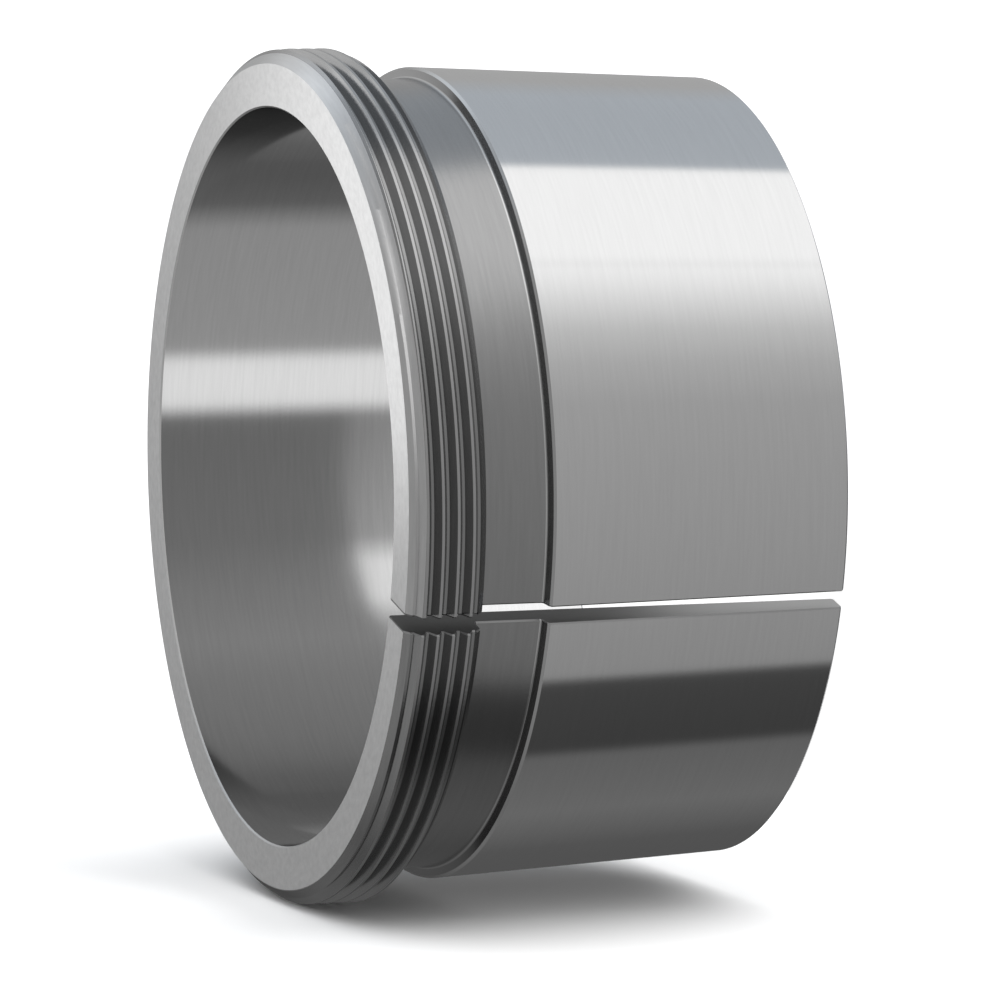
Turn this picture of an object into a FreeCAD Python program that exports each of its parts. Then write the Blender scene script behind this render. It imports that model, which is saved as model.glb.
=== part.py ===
import FreeCAD, Part
import math
import os

# Withdrawal sleeve, one turned steel piece that wedges a tapered bearing bore onto a plain shaft.
# Millimetres. Z is the bore axis, the small end stands on Z = 0 and the threaded end is on top.

# Lengths along the axis
sleeve_length = 59.0
collar_length = 9.9
neck_length = 8.9
shoulder_lean = 0.35

# Bore and outer diameters
bore_dia = 95.0
thread_dia = 110.0
thread_face_dia = 106.2
collar_back_dia = 106.8
neck_dia = 102.0
taper_large_dia = 105.0
taper_ratio = 12.0

# Turned edges
thread_face_chamfer = 1.65
collar_back_chamfer = 1.6
bore_edge_break = 0.2
small_end_break = 0.25
shoulder_break = 0.3
neck_foot_radius = 0.4
collar_foot_bevel = 0.3

# External thread, one start, right-handed
thread_pitch = 2.0
thread_crest_flat = 0.35
thread_root_flat = 0.35
thread_flank_angle = 30.0
thread_first_root = 0.91
thread_cut_over = 0.2

# Slot that lets the sleeve close on the shaft
slot_width = 2.1
slot_edge_break = 0.2
slot_angle = -90.0


def vec(x, y, z):
    return FreeCAD.Vector(x, y, z)


def axis_z():
    return vec(0, 0, 1)


# Stations along Z that the forms share
top = sleeve_length
collar_back = top - collar_length
neck_foot = collar_back - neck_length
taper_top = neck_foot - shoulder_lean
small_end_dia = taper_large_dia - taper_top / taper_ratio


def small_end_points():
    # bore lip, faced end and outer lip, as (radius, height)
    return [
        (bore_dia / 2 + bore_edge_break, 0),
        (small_end_dia / 2 - small_end_break, 0),
        (small_end_dia / 2, small_end_break),
        (taper_large_dia / 2, taper_top - shoulder_break),
        (taper_large_dia / 2 - shoulder_break, taper_top),
    ]


def collar_points():
    # back of the collar over the thread's crest to the bore
    return [
        (collar_back_dia / 2, collar_back),
        (thread_dia / 2, collar_back + collar_back_chamfer),
        (thread_dia / 2, top - thread_face_chamfer),
        (thread_face_dia / 2, top),
        (bore_dia / 2 + bore_edge_break, top),
        (bore_dia / 2, top - bore_edge_break),
        (bore_dia / 2, bore_edge_break),
    ]


def line(start, end):
    return Part.LineSegment(vec(start[0], 0, start[1]), vec(end[0], 0, end[1])).toShape()


def rounded_corner(before, corner, after, radius):
    # end of the first wall, an arc tangent to both walls, start of the second wall
    point = vec(corner[0], 0, corner[1])
    to_before = (vec(before[0], 0, before[1]) - point).normalize()
    to_after = (vec(after[0], 0, after[1]) - point).normalize()
    half = to_before.getAngle(to_after) / 2
    reach = radius / math.tan(half)
    middle = (to_before + to_after).normalize()
    start = point + to_before * reach
    end = point + to_after * reach
    crown = point + middle * (radius / math.sin(half) - radius)
    arc = Part.Arc(start, crown, end).toShape()
    return (start.x, start.z), arc, (end.x, end.z)


def turned_section():
    # the outside with its rounded neck foot, then down the bore and back to the start
    low = small_end_points()
    high = collar_points()
    neck = neck_dia / 2
    foot = (neck, neck_foot)
    back = (neck, collar_back - collar_foot_bevel)
    arc_start, arc, arc_end = rounded_corner(low[-1], foot, back, neck_foot_radius)
    path = [arc_end, back, (neck + collar_foot_bevel, collar_back)] + high + low[:1]
    edges = [line(p, q) for p, q in zip(low, low[1:] + [arc_start])]
    edges.append(arc)
    edges += [line(p, q) for p, q in zip(path, path[1:])]
    return Part.Face(Part.Wire(edges))


def turned_body():
    return turned_section().revolve(vec(0, 0, 0), axis_z(), 360)


def slot_tool():
    # a plain saw cut through one wall, drawn along +X and turned to its angle
    reach = thread_dia
    cut = Part.makeBox(reach, slot_width, sleeve_length * 2, vec(0, -slot_width / 2, -sleeve_length / 2))
    cut.rotate(vec(0, 0, 0), axis_z(), slot_angle)
    return cut


def edge_break_tool(low, high, side):
    # bevels both lips of the slot along a wall line from low to high, side +1 outside or -1 in the bore
    deep = -side * slot_edge_break
    clear = side * slot_edge_break
    half = slot_width / 2
    points = [
        vec(low[0] + deep, -half, low[1]),
        vec(low[0] + clear, -half - 2 * slot_edge_break, low[1]),
        vec(low[0] + clear, half + 2 * slot_edge_break, low[1]),
        vec(low[0] + deep, half, low[1]),
    ]
    section = Part.Face(Part.makePolygon(points + points[:1]))
    tool = section.extrude(vec(high[0] - low[0], 0, high[1] - low[1]))
    tool.rotate(vec(0, 0, 0), axis_z(), slot_angle)
    return tool


def slot_edge_breaks():
    # the taper's wall line runs on past both its ends, the bore's past both faces
    rise = neck_length / 2
    lean = 0.5 / taper_ratio
    taper_low = (small_end_dia / 2 - rise * lean, -rise)
    taper_high = (taper_large_dia / 2 + rise * lean, taper_top + rise)
    bore = bore_dia / 2
    return [
        edge_break_tool(taper_low, taper_high, 1),
        edge_break_tool((bore, -rise), (bore, top + rise), -1),
    ]


def slotted_body():
    return turned_body().cut([slot_tool()] + slot_edge_breaks())


def thread_depth():
    flank_run = (thread_pitch - thread_crest_flat - thread_root_flat) / 2
    return flank_run / math.tan(math.radians(thread_flank_angle))


def groove_section(root_height):
    # the threading tool's section, root first, carried a little past the crest
    flank = math.tan(math.radians(thread_flank_angle))
    root = thread_dia / 2 - thread_depth()
    crest = thread_dia / 2 + thread_cut_over
    half_root = thread_root_flat / 2
    half_crest = half_root + (crest - root) * flank
    points = [
        vec(root, 0, root_height - half_root),
        vec(crest, 0, root_height - half_crest),
        vec(crest, 0, root_height + half_crest),
        vec(root, 0, root_height + half_root),
    ]
    return Part.makePolygon(points + points[:1])


def thread_groove():
    # starts in the clear below the collar, runs out through the threaded face
    turns = math.ceil(collar_length / thread_pitch) + 2
    start = top - thread_first_root - (turns - 1) * thread_pitch
    path = Part.makeLongHelix(thread_pitch, turns * thread_pitch, thread_dia / 2)
    path.translate(vec(0, 0, start))
    groove = Part.Wire(path.Edges).makePipeShell([groove_section(start)], True, True)
    groove.rotate(vec(0, 0, 0), axis_z(), slot_angle)
    return groove


def withdrawal_sleeve():
    sleeve = slotted_body().cut(thread_groove())
    return sleeve.Solids[0]


def main():
    os.makedirs("parts", exist_ok=True)
    sleeve = withdrawal_sleeve()
    print("valid", sleeve.isValid(), "faces", len(sleeve.Faces), "volume mm3", round(sleeve.Volume))
    sleeve.exportStep("parts/sleeve.step")


main()
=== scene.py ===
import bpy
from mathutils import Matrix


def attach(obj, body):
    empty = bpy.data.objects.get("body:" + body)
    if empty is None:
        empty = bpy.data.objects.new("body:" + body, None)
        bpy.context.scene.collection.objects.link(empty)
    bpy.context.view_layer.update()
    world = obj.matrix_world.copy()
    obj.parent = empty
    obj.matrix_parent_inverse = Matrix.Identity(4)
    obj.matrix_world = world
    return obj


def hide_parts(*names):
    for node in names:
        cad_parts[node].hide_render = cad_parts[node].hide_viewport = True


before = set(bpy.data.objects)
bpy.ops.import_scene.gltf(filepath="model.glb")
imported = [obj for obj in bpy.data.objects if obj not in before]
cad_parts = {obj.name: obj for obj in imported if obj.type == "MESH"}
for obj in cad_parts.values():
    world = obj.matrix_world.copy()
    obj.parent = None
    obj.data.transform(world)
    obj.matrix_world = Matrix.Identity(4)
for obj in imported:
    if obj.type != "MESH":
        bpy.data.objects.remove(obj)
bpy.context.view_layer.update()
import math

import bmesh
import bpy
import mathutils

MM = 0.001

# Sleeve sizes in millimetres and degrees, as in the part's source
LENGTH = 59.0
COLLAR = 9.9
NECK = 8.9
SHOULDER_LEAN = 0.35
BORE_R = 47.5
THREAD_R = 55.0
FACE_R = 53.1
COLLAR_BACK_R = 53.4
NECK_R = 51.0
TAPER_R = 52.5
TAPER_RATIO = 12.0
FACE_CHAMFER = 1.65
BACK_CHAMFER = 1.6
BORE_BREAK = 0.2
SMALL_BREAK = 0.25
SHOULDER_BREAK = 0.3
NECK_FILLET = 0.4
BACK_BEVEL = 0.3
PITCH = 2.0
CREST = 0.35
ROOT = 0.35
FLANK_ANGLE = 30.0
FIRST_ROOT = 0.91
SLOT_WIDTH = 2.1
SLOT_BREAK = 0.2
SLOT_ANGLE = -90.0

# Heights and thread sizes worked out from them
TOP = LENGTH
COLLAR_BACK = TOP - COLLAR
NECK_FOOT = COLLAR_BACK - NECK
TAPER_TOP = NECK_FOOT - SHOULDER_LEAN
SMALL_R = TAPER_R - TAPER_TOP / TAPER_RATIO / 2
FLANK_RUN = (PITCH - CREST - ROOT) / 2
DEPTH = FLANK_RUN / math.tan(math.radians(FLANK_ANGLE))

# Mesh fineness: counts, then millimetres and degrees
COLUMNS = 720
FILLET_STEPS = 4
CROSSING_STEPS = 24
HEIGHT_MARGIN = 1e-6
CREST_MARGIN = 0.01
MERGE_GAP = 0.002
CREASE_ANGLE = 20.0

# Zones of the surface, each with a steel of its own; their greys are one steel painted lighter or darker
# as light and shade
ZONES = ("face", "chamfer", "crest", "thread", "neck", "shoulder", "lip", "taper",
         "small_end", "bore", "bore_lip", "cut")

# Photograph's camera, in the row frame
CAMERA_AT = (0.287078, -0.784477, 0.335443)
CAMERA_TURN = (0.665856, 0.319024, 0.474736, -0.479046)
CAMERA_LENS = 246.16
CAMERA_SENSOR = 36.0
CAMERA_CLIP = (0.01, 20.0)
CAMERA_AZIMUTH = 20.1

# Level directions: towards the camera, up in its picture, and the sleeve's axis
TOWARDS = mathutils.Vector((
    math.sin(math.radians(CAMERA_AZIMUTH)), -math.cos(math.radians(CAMERA_AZIMUTH)), 0))
UP = mathutils.Vector((-TOWARDS.y, TOWARDS.x, 0))
AXIS = mathutils.Vector((0, 0, 1))

# Steel's streaks and grain
STREAK_RANGE = (0.3, 0.7)
GRAIN_SCALE = 2500.0
GRAIN_DEPTH = 0.02

# What the polished steel mirrors, by angle round the axis: (degrees down from the camera, light)
SURROUND = (
    (-180, 0.30), (-168, 0.42), (-150, 0.48), (-136, 0.56), (-98, 0.60), (-95.5, 1.34),
    (-62.5, 1.34), (-60.8, 1.18), (-59.3, 1.30), (-54, 1.18), (-40, 0.75), (-30, 0.59), (-18, 0.49),
    (0, 0.455), (62, 0.36), (64, 0.075), (88, 0.063), (91, 0.17), (116, 0.20), (140, 0.12),
    (180, 0.08),
)
COOL_RANGE = (-140, -97)
COOL_TINT = (0.93, 1.0, 1.08)
BAND_PEAK = 2.0

# How the bands' light varies with height, and the even light overhead: (sine of the height, level)
RISE = ((-1.0, 1.0), (0.0, 1.0), (0.22, 2.2), (0.38, 2.2), (0.52, 1.3), (0.80, 0.0), (1.0, 0.0))
OVERHEAD = ((-1.0, 0.0), (0.52, 0.0), (0.80, 0.48), (1.0, 0.48))
RISE_PEAK = 4.0

# What the polished bore mirrors in its far wall, and past the small end: (degrees, light)
BORE_MOUTH = (
    (-180, 0.085), (-172, 0.07), (-160, 0.045), (-150, 0.03), (-90, 0.012), (-60, 0.02), (60, 0.10),
    (90, 0.13), (170, 0.12), (180, 0.09),
)
BORE_UPPER = (
    (-180, 0.09), (-165, 0.06), (-150, 0.035), (-120, 0.02), (-90, 0.02), (-60, 0.06), (60, 0.12),
    (130, 0.20), (146, 0.12), (165, 0.11), (180, 0.09),
)
BORE_WALL = (
    (-180, 0.11), (-165, 0.125), (-150, 0.16), (-137, 0.18), (-100, 0.21), (-80, 0.24), (-54, 0.21),
    (-30, 0.17), (29, 0.15), (36, 0.86), (56, 0.86), (63, 0.32), (130, 0.30), (146, 0.12),
    (165, 0.10), (180, 0.10),
)
BORE_END = (
    (-180, 0.10), (-137, 0.16), (-100, 0.22), (-75, 0.36), (-60, 0.85), (-42, 0.85), (-30, 0.36),
    (29, 0.24), (36, 0.86), (56, 0.86), (63, 0.32), (130, 0.30), (146, 0.10), (165, 0.06),
    (180, 0.05),
)
BORE_DEEP = ((-180, 1.15), (180, 1.15))

# Lit tubes that line the bore from its mouth down: (name, height of the lower end, light)
BORE_CARDS = (
    ("bore_card_mouth", 44.0, BORE_MOUTH),
    ("bore_card_upper", 38.0, BORE_UPPER),
    ("bore_card_wall", 0.0, BORE_WALL),
    ("bore_card_end", -12.0, BORE_END),
    ("bore_card_deep", -60.0, BORE_DEEP),
)
BORE_CARD_R = 47.2
BORE_CARD_SIDES = 96

# Lamp over the threaded face, its size in metres and its place and target in millimetres:
# (towards the camera, up in the picture, above the face)
FACE_LAMP_AT = (-12.0, 35.0, 57.0)
FACE_LAMP_TARGET = (58.0, 6.0, 0.0)
FACE_LAMP_SIZE = 0.09
FACE_LAMP_POWER = 0.018

# White sheet along the sleeve's low side in the picture, and the lamp over it, in metres and
# degrees, apart from the gap in millimetres
COVE_SIZE = 1.2
COVE_LEAN = 5.0
COVE_GAP = 0.1
COVE_WHITE = 0.85
COVE_LAMP_HEIGHT = 0.6
COVE_LAMP_SHIFT = (0.10, -0.34)
COVE_LAMP_SIZE = 1.1
COVE_LAMP_POWER = 7.0

# The floor, in metres, has its edge under the sleeve, in millimetres from the axis, so that the
# shadow on the cove is seen whole
FLOOR_SIZE = 6.0
FLOOR_EDGE = 42.0
FLOOR_WHITE = 0.8
FLOOR_GLOW = 0.8


# Profile of the turned form

def fillet_arc(corner, start, end, radius):
    """Points of a small arc that rounds a corner between two straight walls."""
    def unit(p):
        d = (p[0] - corner[0], p[1] - corner[1])
        n = math.hypot(*d)
        return d[0] / n, d[1] / n
    a, b = unit(start), unit(end)
    half = math.acos(max(-1, min(1, a[0] * b[0] + a[1] * b[1]))) / 2
    reach = radius / math.tan(half)
    middle = (a[0] + b[0], a[1] + b[1])
    size = math.hypot(*middle)
    centre = (corner[0] + middle[0] / size * radius / math.sin(half),
              corner[1] + middle[1] / size * radius / math.sin(half))
    p0 = (corner[0] + a[0] * reach, corner[1] + a[1] * reach)
    p1 = (corner[0] + b[0] * reach, corner[1] + b[1] * reach)
    t0 = math.atan2(p0[1] - centre[1], p0[0] - centre[0])
    t1 = math.atan2(p1[1] - centre[1], p1[0] - centre[0])
    turn = (t1 - t0 + math.pi) % (2 * math.pi) - math.pi
    angles = [t0 + turn * i / FILLET_STEPS for i in range(FILLET_STEPS + 1)]
    return [(centre[0] + radius * math.cos(t), centre[1] + radius * math.sin(t)) for t in angles]


def envelope(z):
    """Outer radius of the collar without its thread."""
    back = COLLAR_BACK_R + (z - COLLAR_BACK) / BACK_CHAMFER * (THREAD_R - COLLAR_BACK_R)
    front = FACE_R + (TOP - z) / FACE_CHAMFER * (THREAD_R - FACE_R)
    return min(THREAD_R, back, front)


def thread_radius(z, first):
    """Radius of the bare thread form at a height."""
    away = abs((z - first + PITCH / 2) % PITCH - PITCH / 2)
    climb = (away - ROOT / 2) / FLANK_RUN
    return THREAD_R - DEPTH + DEPTH * max(0.0, min(1.0, climb))


def crossing(low, high, first):
    """Height where a flank runs through one of the collar's chamfers, or the flank's end."""
    def gap(z):
        return thread_radius(z, first) - envelope(z)
    if gap(low) * gap(high) >= 0:
        return high
    for _ in range(CROSSING_STEPS):
        middle = (low + high) / 2
        if gap(low) * gap(middle) <= 0:
            high = middle
        else:
            low = middle
    return (low + high) / 2


def thread_points(turn):
    """Collar outline from the back to the face at one angle, as sorted (radius, height)."""
    first = TOP - FIRST_ROOT + PITCH * turn
    heights = [COLLAR_BACK, COLLAR_BACK + BACK_CHAMFER, TOP - FACE_CHAMFER, TOP]
    for k in range(-1, math.ceil(COLLAR / PITCH) + 2):
        root = first - k * PITCH
        low_crest = root - PITCH / 2 + CREST / 2
        low_root = root - ROOT / 2
        high_root = root + ROOT / 2
        high_crest = root + PITCH / 2 - CREST / 2
        heights += [low_crest, low_root, high_root, high_crest]
        heights += [crossing(low_crest, low_root, first), crossing(high_root, high_crest, first)]
    heights = sorted(min(max(z, COLLAR_BACK), TOP) for z in heights)
    return [(min(envelope(z), thread_radius(z, first)), z) for z in heights]


def collar_zone(z):
    on_chamfer = TOP - FACE_CHAMFER - HEIGHT_MARGIN <= z < TOP
    return "chamfer" if on_chamfer else "thread"


def profile(turn):
    """Closed section at one angle: (radius, height, zone of the wall that follows)."""
    shoulder = (TAPER_R - SHOULDER_BREAK, TAPER_TOP)
    foot = fillet_arc((NECK_R, NECK_FOOT), shoulder, (NECK_R, COLLAR_BACK), NECK_FILLET)
    points = [
        (BORE_R + BORE_BREAK, 0, "small_end"),
        (SMALL_R - SMALL_BREAK, 0, "small_end"),
        (SMALL_R, SMALL_BREAK, "taper"),
        (TAPER_R, TAPER_TOP - SHOULDER_BREAK, "lip"),
        (*shoulder, "shoulder"),
    ]
    points += [(r, z, "neck") for r, z in foot]
    points += [(NECK_R, COLLAR_BACK - BACK_BEVEL, "neck"), (NECK_R + BACK_BEVEL, COLLAR_BACK, "neck")]
    points += [(r, z, collar_zone(z)) for r, z in thread_points(turn)]
    points[-1] = (*points[-1][:2], "face")
    points += [
        (BORE_R + BORE_BREAK, TOP, "bore_lip"),
        (BORE_R, TOP - BORE_BREAK, "bore"),
        (BORE_R, BORE_BREAK, "bore_lip"),
    ]
    return points


# Mesh of the sleeve

def inset(point):
    """The section drawn in by the slot's edge break."""
    r, z, zone = point
    if zone == "bore" or r <= BORE_R + BORE_BREAK:
        return r + SLOT_BREAK, z, zone
    return r - SLOT_BREAK, z, zone


def column_angle(share, r, half_gap):
    """Angle of a column at radius r, spread evenly between the slot's two walls."""
    gap = math.asin(half_gap / r)
    return math.radians(SLOT_ANGLE) + gap + share * (2 * math.pi - 2 * gap)


def section_at(share, half_gap):
    """The section of a column, with the thread's climb from the slot to it."""
    return profile(column_angle(share, THREAD_R, half_gap) / (2 * math.pi) - SLOT_ANGLE / 360)


def column_at(share, half_gap, section):
    return [(r, z, column_angle(share, r, half_gap)) for r, z, _ in section]


def build_columns():
    """Vertex columns right round the sleeve, from one slot wall to the other."""
    wall = SLOT_WIDTH / 2
    inner = wall + SLOT_BREAK
    shares = [i / COLUMNS for i in range(COLUMNS + 1)]
    columns = [column_at(share, inner, section_at(share, inner)) for share in shares]
    first, last = [
        column_at(share, wall, [inset(p) for p in section_at(share, wall)]) for share in (0.0, 1.0)]
    return [first] + columns + [last]


def sleeve_mesh():
    columns = build_columns()
    zones = [zone for _, _, zone in profile(0)]
    rows = len(zones)
    verts = [
        (r * math.cos(t) * MM, r * math.sin(t) * MM, z * MM)
        for column in columns for r, z, t in column]
    faces, slots = [], []
    last = len(columns) - 1
    for i in range(last):
        for j in range(rows):
            k = (j + 1) % rows
            faces.append((i * rows + j, (i + 1) * rows + j, (i + 1) * rows + k, i * rows + k))
            radii = [columns[m][n][0] for m in (i, i + 1) for n in (j, k)]
            crest = zones[j] == "thread" and min(radii) > THREAD_R - CREST_MARGIN
            zone = "crest" if crest else zones[j]
            slots.append("cut" if i in (0, last - 1) else zone)
    faces.append(tuple(range(rows)))
    faces.append(tuple(last * rows + j for j in reversed(range(rows))))
    slots += ["cut", "cut"]
    mesh = bpy.data.meshes.new("sleeve_surface")
    mesh.from_pydata(verts, [], faces)
    for polygon, zone in zip(mesh.polygons, slots):
        polygon.material_index = ZONES.index(zone)
    return mesh


def tidy_mesh(mesh):
    """Drops the collapsed strips and marks creases sharp."""
    form = bmesh.new()
    form.from_mesh(mesh)
    bmesh.ops.remove_doubles(form, verts=form.verts, dist=MERGE_GAP * MM)
    bmesh.ops.recalc_face_normals(form, faces=form.faces)
    for edge in form.edges:
        paired = len(edge.link_faces) == 2
        edge.smooth = paired and edge.calc_face_angle(0) < math.radians(CREASE_ANGLE)
    for face in form.faces:
        face.smooth = True
    form.to_mesh(mesh)
    form.free()


# Shader nodes

def node(tree, kind, **values):
    """A new node; values named in_ set its inputs, the others its settings."""
    made = tree.nodes.new(kind)
    for name, value in values.items():
        if name.startswith("in_"):
            made.inputs[name[3:].replace("_", " ")].default_value = value
        else:
            setattr(made, name, value)
    return made


def scaled(tree, value, factor, offset=0.0):
    """A value times a factor, plus an offset."""
    step = node(tree, "ShaderNodeMath", operation="MULTIPLY_ADD")
    step.inputs[1].default_value = factor
    step.inputs[2].default_value = offset
    tree.links.new(value, step.inputs[0])
    return step.outputs[0]


def ramp(tree, value, stops):
    """The colour read off a row of (position, colour) stops at a value from 0 to 1."""
    made = node(tree, "ShaderNodeValToRGB")
    elements = made.color_ramp.elements
    while len(elements) > 1:
        elements.remove(elements[-1])
    for i, (position, colour) in enumerate(stops):
        stop = elements[0] if i == 0 else elements.new(position)
        stop.position = position
        stop.color = (*colour, 1)
    tree.links.new(value, made.inputs[0])
    return made.outputs["Color"]


def around_axis(tree, space):
    """The angle round the sleeve's axis, and the split coordinates that it comes from."""
    place = node(tree, "ShaderNodeTexCoord")
    split = node(tree, "ShaderNodeSeparateXYZ")
    tree.links.new(place.outputs[space], split.inputs[0])
    angle = node(tree, "ShaderNodeMath", operation="ARCTAN2")
    tree.links.new(split.outputs["Y"], angle.inputs[0])
    tree.links.new(split.outputs["X"], angle.inputs[1])
    return angle.outputs[0], split.outputs


# Steel

def round_coordinates(tree, around, along):
    """Texture space of the turned surface: streaks run round the axis."""
    angle, place = around_axis(tree, "Object")
    flat = node(tree, "ShaderNodeCombineXYZ")
    tree.links.new(place["X"], flat.inputs["X"])
    tree.links.new(place["Y"], flat.inputs["Y"])
    reach = node(tree, "ShaderNodeVectorMath", operation="LENGTH")
    tree.links.new(flat.outputs[0], reach.inputs[0])
    join = node(tree, "ShaderNodeCombineXYZ")
    tree.links.new(scaled(tree, angle, around), join.inputs["X"])
    tree.links.new(scaled(tree, place["Z"], along), join.inputs["Y"])
    tree.links.new(scaled(tree, reach.outputs["Value"], along), join.inputs["Z"])
    return join.outputs[0]


def streaked_colour(tree, colour, streak, around, along):
    """The colour lightened and darkened in short streaks round the axis."""
    noise = node(tree, "ShaderNodeTexNoise", in_Scale=1.0, in_Detail=3.0, in_Roughness=0.6)
    tree.links.new(round_coordinates(tree, around, along), noise.inputs["Vector"])
    dark = [part * (1 - streak) for part in colour]
    light = [part * (1 + streak) for part in colour]
    return ramp(tree, noise.outputs["Fac"], zip(STREAK_RANGE, (dark, light)))


def grain_normal(tree, grain):
    """Fine tool grain as a bump."""
    place = node(tree, "ShaderNodeTexCoord")
    noise = node(tree, "ShaderNodeTexNoise", in_Scale=GRAIN_SCALE, in_Detail=2.0)
    tree.links.new(place.outputs["Object"], noise.inputs["Vector"])
    bump = node(tree, "ShaderNodeBump", in_Strength=grain, in_Distance=GRAIN_DEPTH * MM)
    tree.links.new(noise.outputs["Fac"], bump.inputs["Height"])
    return bump.outputs[0]


def steel(name, colour, roughness, streak=0.0, around=6.0, along=2500.0, grain=0.0):
    """Machined steel with streaks left by turning and a fine grain."""
    material = bpy.data.materials.new(name)
    material.use_nodes = True
    tree = material.node_tree
    shader = tree.nodes["Principled BSDF"]
    shader.inputs["Metallic"].default_value = 1.0
    shader.inputs["Base Color"].default_value = (*colour, 1)
    shader.inputs["Roughness"].default_value = roughness
    if streak:
        tree.links.new(streaked_colour(tree, colour, streak, around, along), shader.inputs["Base Color"])
    if grain:
        tree.links.new(grain_normal(tree, grain), shader.inputs["Normal"])
    return material


def grey(level):
    return level, level, level


def steels():
    # The greys differ by zone to paint light and shade on one steel: darker on the thread, neck, shoulder,
    # lips and slot walls as painted shade in grooves, recesses and edge breaks, lighter on the face and
    # bore as painted light
    return {
        "face": steel("steel_face", grey(0.78), 0.42, streak=0.06, around=40.0, along=1200.0, grain=0.6),
        "chamfer": steel("steel_chamfer", grey(0.50), 0.30, streak=0.05, around=12.0, grain=0.5),
        "crest": steel("steel_crest", grey(0.42), 0.28, streak=0.05, around=12.0, grain=0.3),
        "thread": steel("steel_thread", grey(0.30), 0.20, streak=0.05, around=12.0, grain=0.4),
        "neck": steel("steel_neck", grey(0.33), 0.22, streak=0.04, grain=0.2),
        "shoulder": steel("steel_shoulder", grey(0.20), 0.22),
        "lip": steel("steel_lip", grey(0.42), 0.22),
        "taper": steel("steel_taper", grey(0.645), 0.09, streak=0.02, grain=0.03),
        "small_end": steel("steel_small_end", (0.60, 0.60, 0.61), 0.35, grain=0.3),
        "bore": steel("steel_bore", grey(0.80), 0.10, streak=0.03, grain=0.03),
        "bore_lip": steel("steel_bore_lip", grey(0.40), 0.40),
        "cut": steel("steel_cut", grey(0.24), 0.35, grain=0.2),
    }


def add_sleeve():
    mesh = sleeve_mesh()
    tidy_mesh(mesh)
    finishes = steels()
    for zone in ZONES:
        mesh.materials.append(finishes[zone])
    piece = bpy.data.objects.new("sleeve_turned", mesh)
    bpy.context.scene.collection.objects.link(piece)
    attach(piece, "root")
    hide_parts("sleeve")


# Studio

def bare_material(name):
    """A material without nodes, and its tree."""
    material = bpy.data.materials.new(name)
    material.use_nodes = True
    material.node_tree.nodes.clear()
    return material, material.node_tree


def shade_sides(tree, front, back):
    """One shader on a sheet's front and another on its back."""
    side = node(tree, "ShaderNodeNewGeometry")
    mix = node(tree, "ShaderNodeMixShader")
    tree.links.new(side.outputs["Backfacing"], mix.inputs["Fac"])
    tree.links.new(front.outputs[0], mix.inputs[1])
    tree.links.new(back.outputs[0], mix.inputs[2])
    out = node(tree, "ShaderNodeOutputMaterial")
    tree.links.new(mix.outputs[0], out.inputs["Surface"])


def hide_from(thing, *rays):
    """Takes a lamp or a stage piece away from the named kinds of ray."""
    for ray in rays:
        setattr(thing, "visible_" + ray, False)


def surround_colour(tree, space, bands, tinted=False):
    """Bands of light and dark round the sleeve's axis, at most BAND_PEAK, and the height read there."""
    angle, place = around_axis(tree, space)
    # the camera's own direction lies halfway along the ramp
    turned = scaled(tree, angle, -0.5 / math.pi, (180 - 90 + CAMERA_AZIMUTH) / 360)
    wrap = node(tree, "ShaderNodeMath", operation="FRACT")
    tree.links.new(turned, wrap.inputs[0])
    stops = []
    for degrees, light in bands:
        cool = tinted and COOL_RANGE[0] < degrees < COOL_RANGE[1]
        tint = COOL_TINT if cool else grey(1.0)
        stops.append(((degrees + 180) / 360, [light / BAND_PEAK * part for part in tint]))
    return ramp(tree, wrap.outputs[0], stops), place["Z"]


def height_ramp(tree, level, marks, peak):
    """Levels by the sine of the height, as shares of their peak."""
    return ramp(tree, level, [((sine + 1) / 2, grey(share / peak)) for sine, share in marks])


def studio_light(tree):
    """Bands round the axis, stronger or weaker with height, and an even light overhead."""
    colour, height = surround_colour(tree, "Generated", SURROUND, tinted=True)
    level = scaled(tree, height, 0.5, 0.5)
    strength = scaled(tree, height_ramp(tree, level, RISE, RISE_PEAK), RISE_PEAK * BAND_PEAK)
    bands = node(tree, "ShaderNodeBackground")
    tree.links.new(colour, bands.inputs["Color"])
    tree.links.new(strength, bands.inputs["Strength"])
    above = node(tree, "ShaderNodeBackground", in_Strength=1.0)
    tree.links.new(height_ramp(tree, level, OVERHEAD, 1.0), above.inputs["Color"])
    both = node(tree, "ShaderNodeAddShader")
    tree.links.new(bands.outputs[0], both.inputs[0])
    tree.links.new(above.outputs[0], both.inputs[1])
    return both


def add_world():
    """The studio's light, and plain white where the camera looks past the sleeve."""
    world = bpy.data.worlds.new("studio")
    bpy.context.scene.world = world
    world.use_nodes = True
    tree = world.node_tree
    tree.nodes.clear()
    white = node(tree, "ShaderNodeBackground", in_Color=(1, 1, 1, 1), in_Strength=1.0)
    path = node(tree, "ShaderNodeLightPath")
    mix = node(tree, "ShaderNodeMixShader")
    tree.links.new(path.outputs["Is Camera Ray"], mix.inputs["Fac"])
    tree.links.new(studio_light(tree).outputs[0], mix.inputs[1])
    tree.links.new(white.outputs[0], mix.inputs[2])
    out = node(tree, "ShaderNodeOutputWorld")
    tree.links.new(mix.outputs[0], out.inputs["Surface"])


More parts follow.
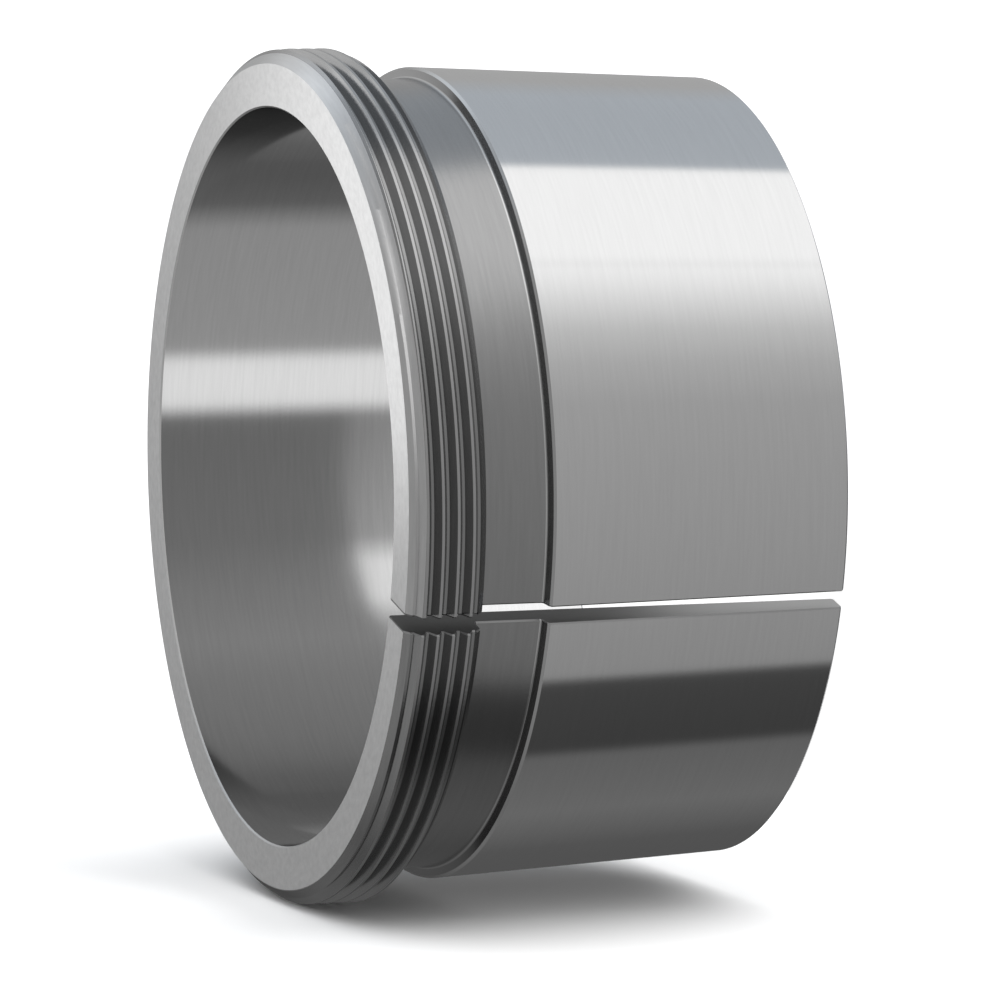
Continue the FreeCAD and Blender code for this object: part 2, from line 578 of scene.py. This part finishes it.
def add_floor():
    material = bpy.data.materials.new("floor_white")
    material.use_nodes = True
    shader = material.node_tree.nodes["Principled BSDF"]
    shader.inputs["Base Color"].default_value = (*grey(FLOOR_WHITE), 1)
    shader.inputs["Roughness"].default_value = 0.9
    shader.inputs["Specular IOR Level"].default_value = 0.0
    shader.inputs["Emission Color"].default_value = (1, 1, 1, 1)
    shader.inputs["Emission Strength"].default_value = FLOOR_GLOW
    middle = UP * (FLOOR_SIZE / 2 - FLOOR_EDGE * MM)
    bpy.ops.mesh.primitive_plane_add(size=FLOOR_SIZE, location=middle)
    floor = bpy.context.object
    floor.name = "floor"
    floor.rotation_euler = (0, 0, math.atan2(UP.y, UP.x))
    floor.data.materials.append(material)
    hide_from(floor, "glossy", "diffuse", "shadow")


def add_bore_card(name, top, bottom, bands):
    """A lit tube lining the bore, met only by mirrored rays that cross the bore to it."""
    material, tree = bare_material(name)
    light = node(tree, "ShaderNodeEmission", in_Strength=BAND_PEAK)
    colour, _ = surround_colour(tree, "Object", bands)
    tree.links.new(colour, light.inputs["Color"])
    shade_sides(tree, node(tree, "ShaderNodeBsdfTransparent"), light)
    bpy.ops.mesh.primitive_cylinder_add(
        vertices=BORE_CARD_SIDES, radius=BORE_CARD_R * MM, depth=(top - bottom) * MM,
        end_fill_type="NOTHING", location=(0, 0, (top + bottom) / 2 * MM))
    card = bpy.context.object
    card.name = name
    card.data.materials.append(material)
    hide_from(card, "camera", "diffuse", "transmission", "shadow")


def add_bore_cards():
    top = TOP
    for name, bottom, bands in BORE_CARDS:
        add_bore_card(name, top, bottom, bands)
        top = bottom


def add_lamp(name, place, target, size, power):
    data = bpy.data.lights.new(name, "AREA")
    data.size = size
    data.energy = power
    lamp = bpy.data.objects.new(name, data)
    lamp.location = place
    lamp.rotation_euler = (target - place).to_track_quat("-Z", "Y").to_euler()
    hide_from(lamp, "camera")
    bpy.context.scene.collection.objects.link(lamp)
    return lamp


def over_face(near, up, height):
    return (TOWARDS * near + UP * up + AXIS * (TOP + height)) * MM


def add_face_lamp():
    """Over the threaded face, so that its near and upper part gleams."""
    place = over_face(*FACE_LAMP_AT)
    add_lamp("face_lamp", place, over_face(*FACE_LAMP_TARGET), FACE_LAMP_SIZE, FACE_LAMP_POWER)


def cove_normal():
    lean = math.radians(COVE_LEAN)
    return UP * math.cos(lean) + TOWARDS * math.sin(lean)


def add_cove():
    """A white sheet along the sleeve's low side in the picture, clear from behind, for its soft shadow."""
    normal = cove_normal()
    material, tree = bare_material("cove_white")
    white = node(tree, "ShaderNodeBsdfDiffuse", in_Color=(*grey(COVE_WHITE), 1))
    shade_sides(tree, white, node(tree, "ShaderNodeBsdfTransparent"))
    bpy.ops.mesh.primitive_plane_add(size=COVE_SIZE, location=-normal * (THREAD_R + COVE_GAP) * MM)
    cove = bpy.context.object
    cove.name = "cove"
    cove.rotation_mode = "QUATERNION"
    cove.rotation_quaternion = normal.to_track_quat("Z", "Y")
    cove.data.materials.append(material)
    hide_from(cove, "glossy", "diffuse", "shadow")


def add_cove_lamp():
    near, along = COVE_LAMP_SHIFT
    place = cove_normal() * COVE_LAMP_HEIGHT + TOWARDS * near + AXIS * along
    lamp = add_lamp("cove_lamp", place, mathutils.Vector((0, 0, 0)), COVE_LAMP_SIZE, COVE_LAMP_POWER)
    hide_from(lamp, "glossy")


def add_camera():
    data = bpy.data.cameras.new("camera")
    data.lens = CAMERA_LENS
    data.sensor_width = CAMERA_SENSOR
    data.clip_start, data.clip_end = CAMERA_CLIP
    camera = bpy.data.objects.new("camera", data)
    camera.location = CAMERA_AT
    camera.rotation_mode = "QUATERNION"
    camera.rotation_quaternion = CAMERA_TURN
    bpy.context.scene.collection.objects.link(camera)
    bpy.context.scene.camera = camera


bpy.context.scene.view_settings.view_transform = "Standard"
add_sleeve()
add_world()
add_floor()
add_bore_cards()
add_face_lamp()
add_cove()
add_cove_lamp()
add_camera()
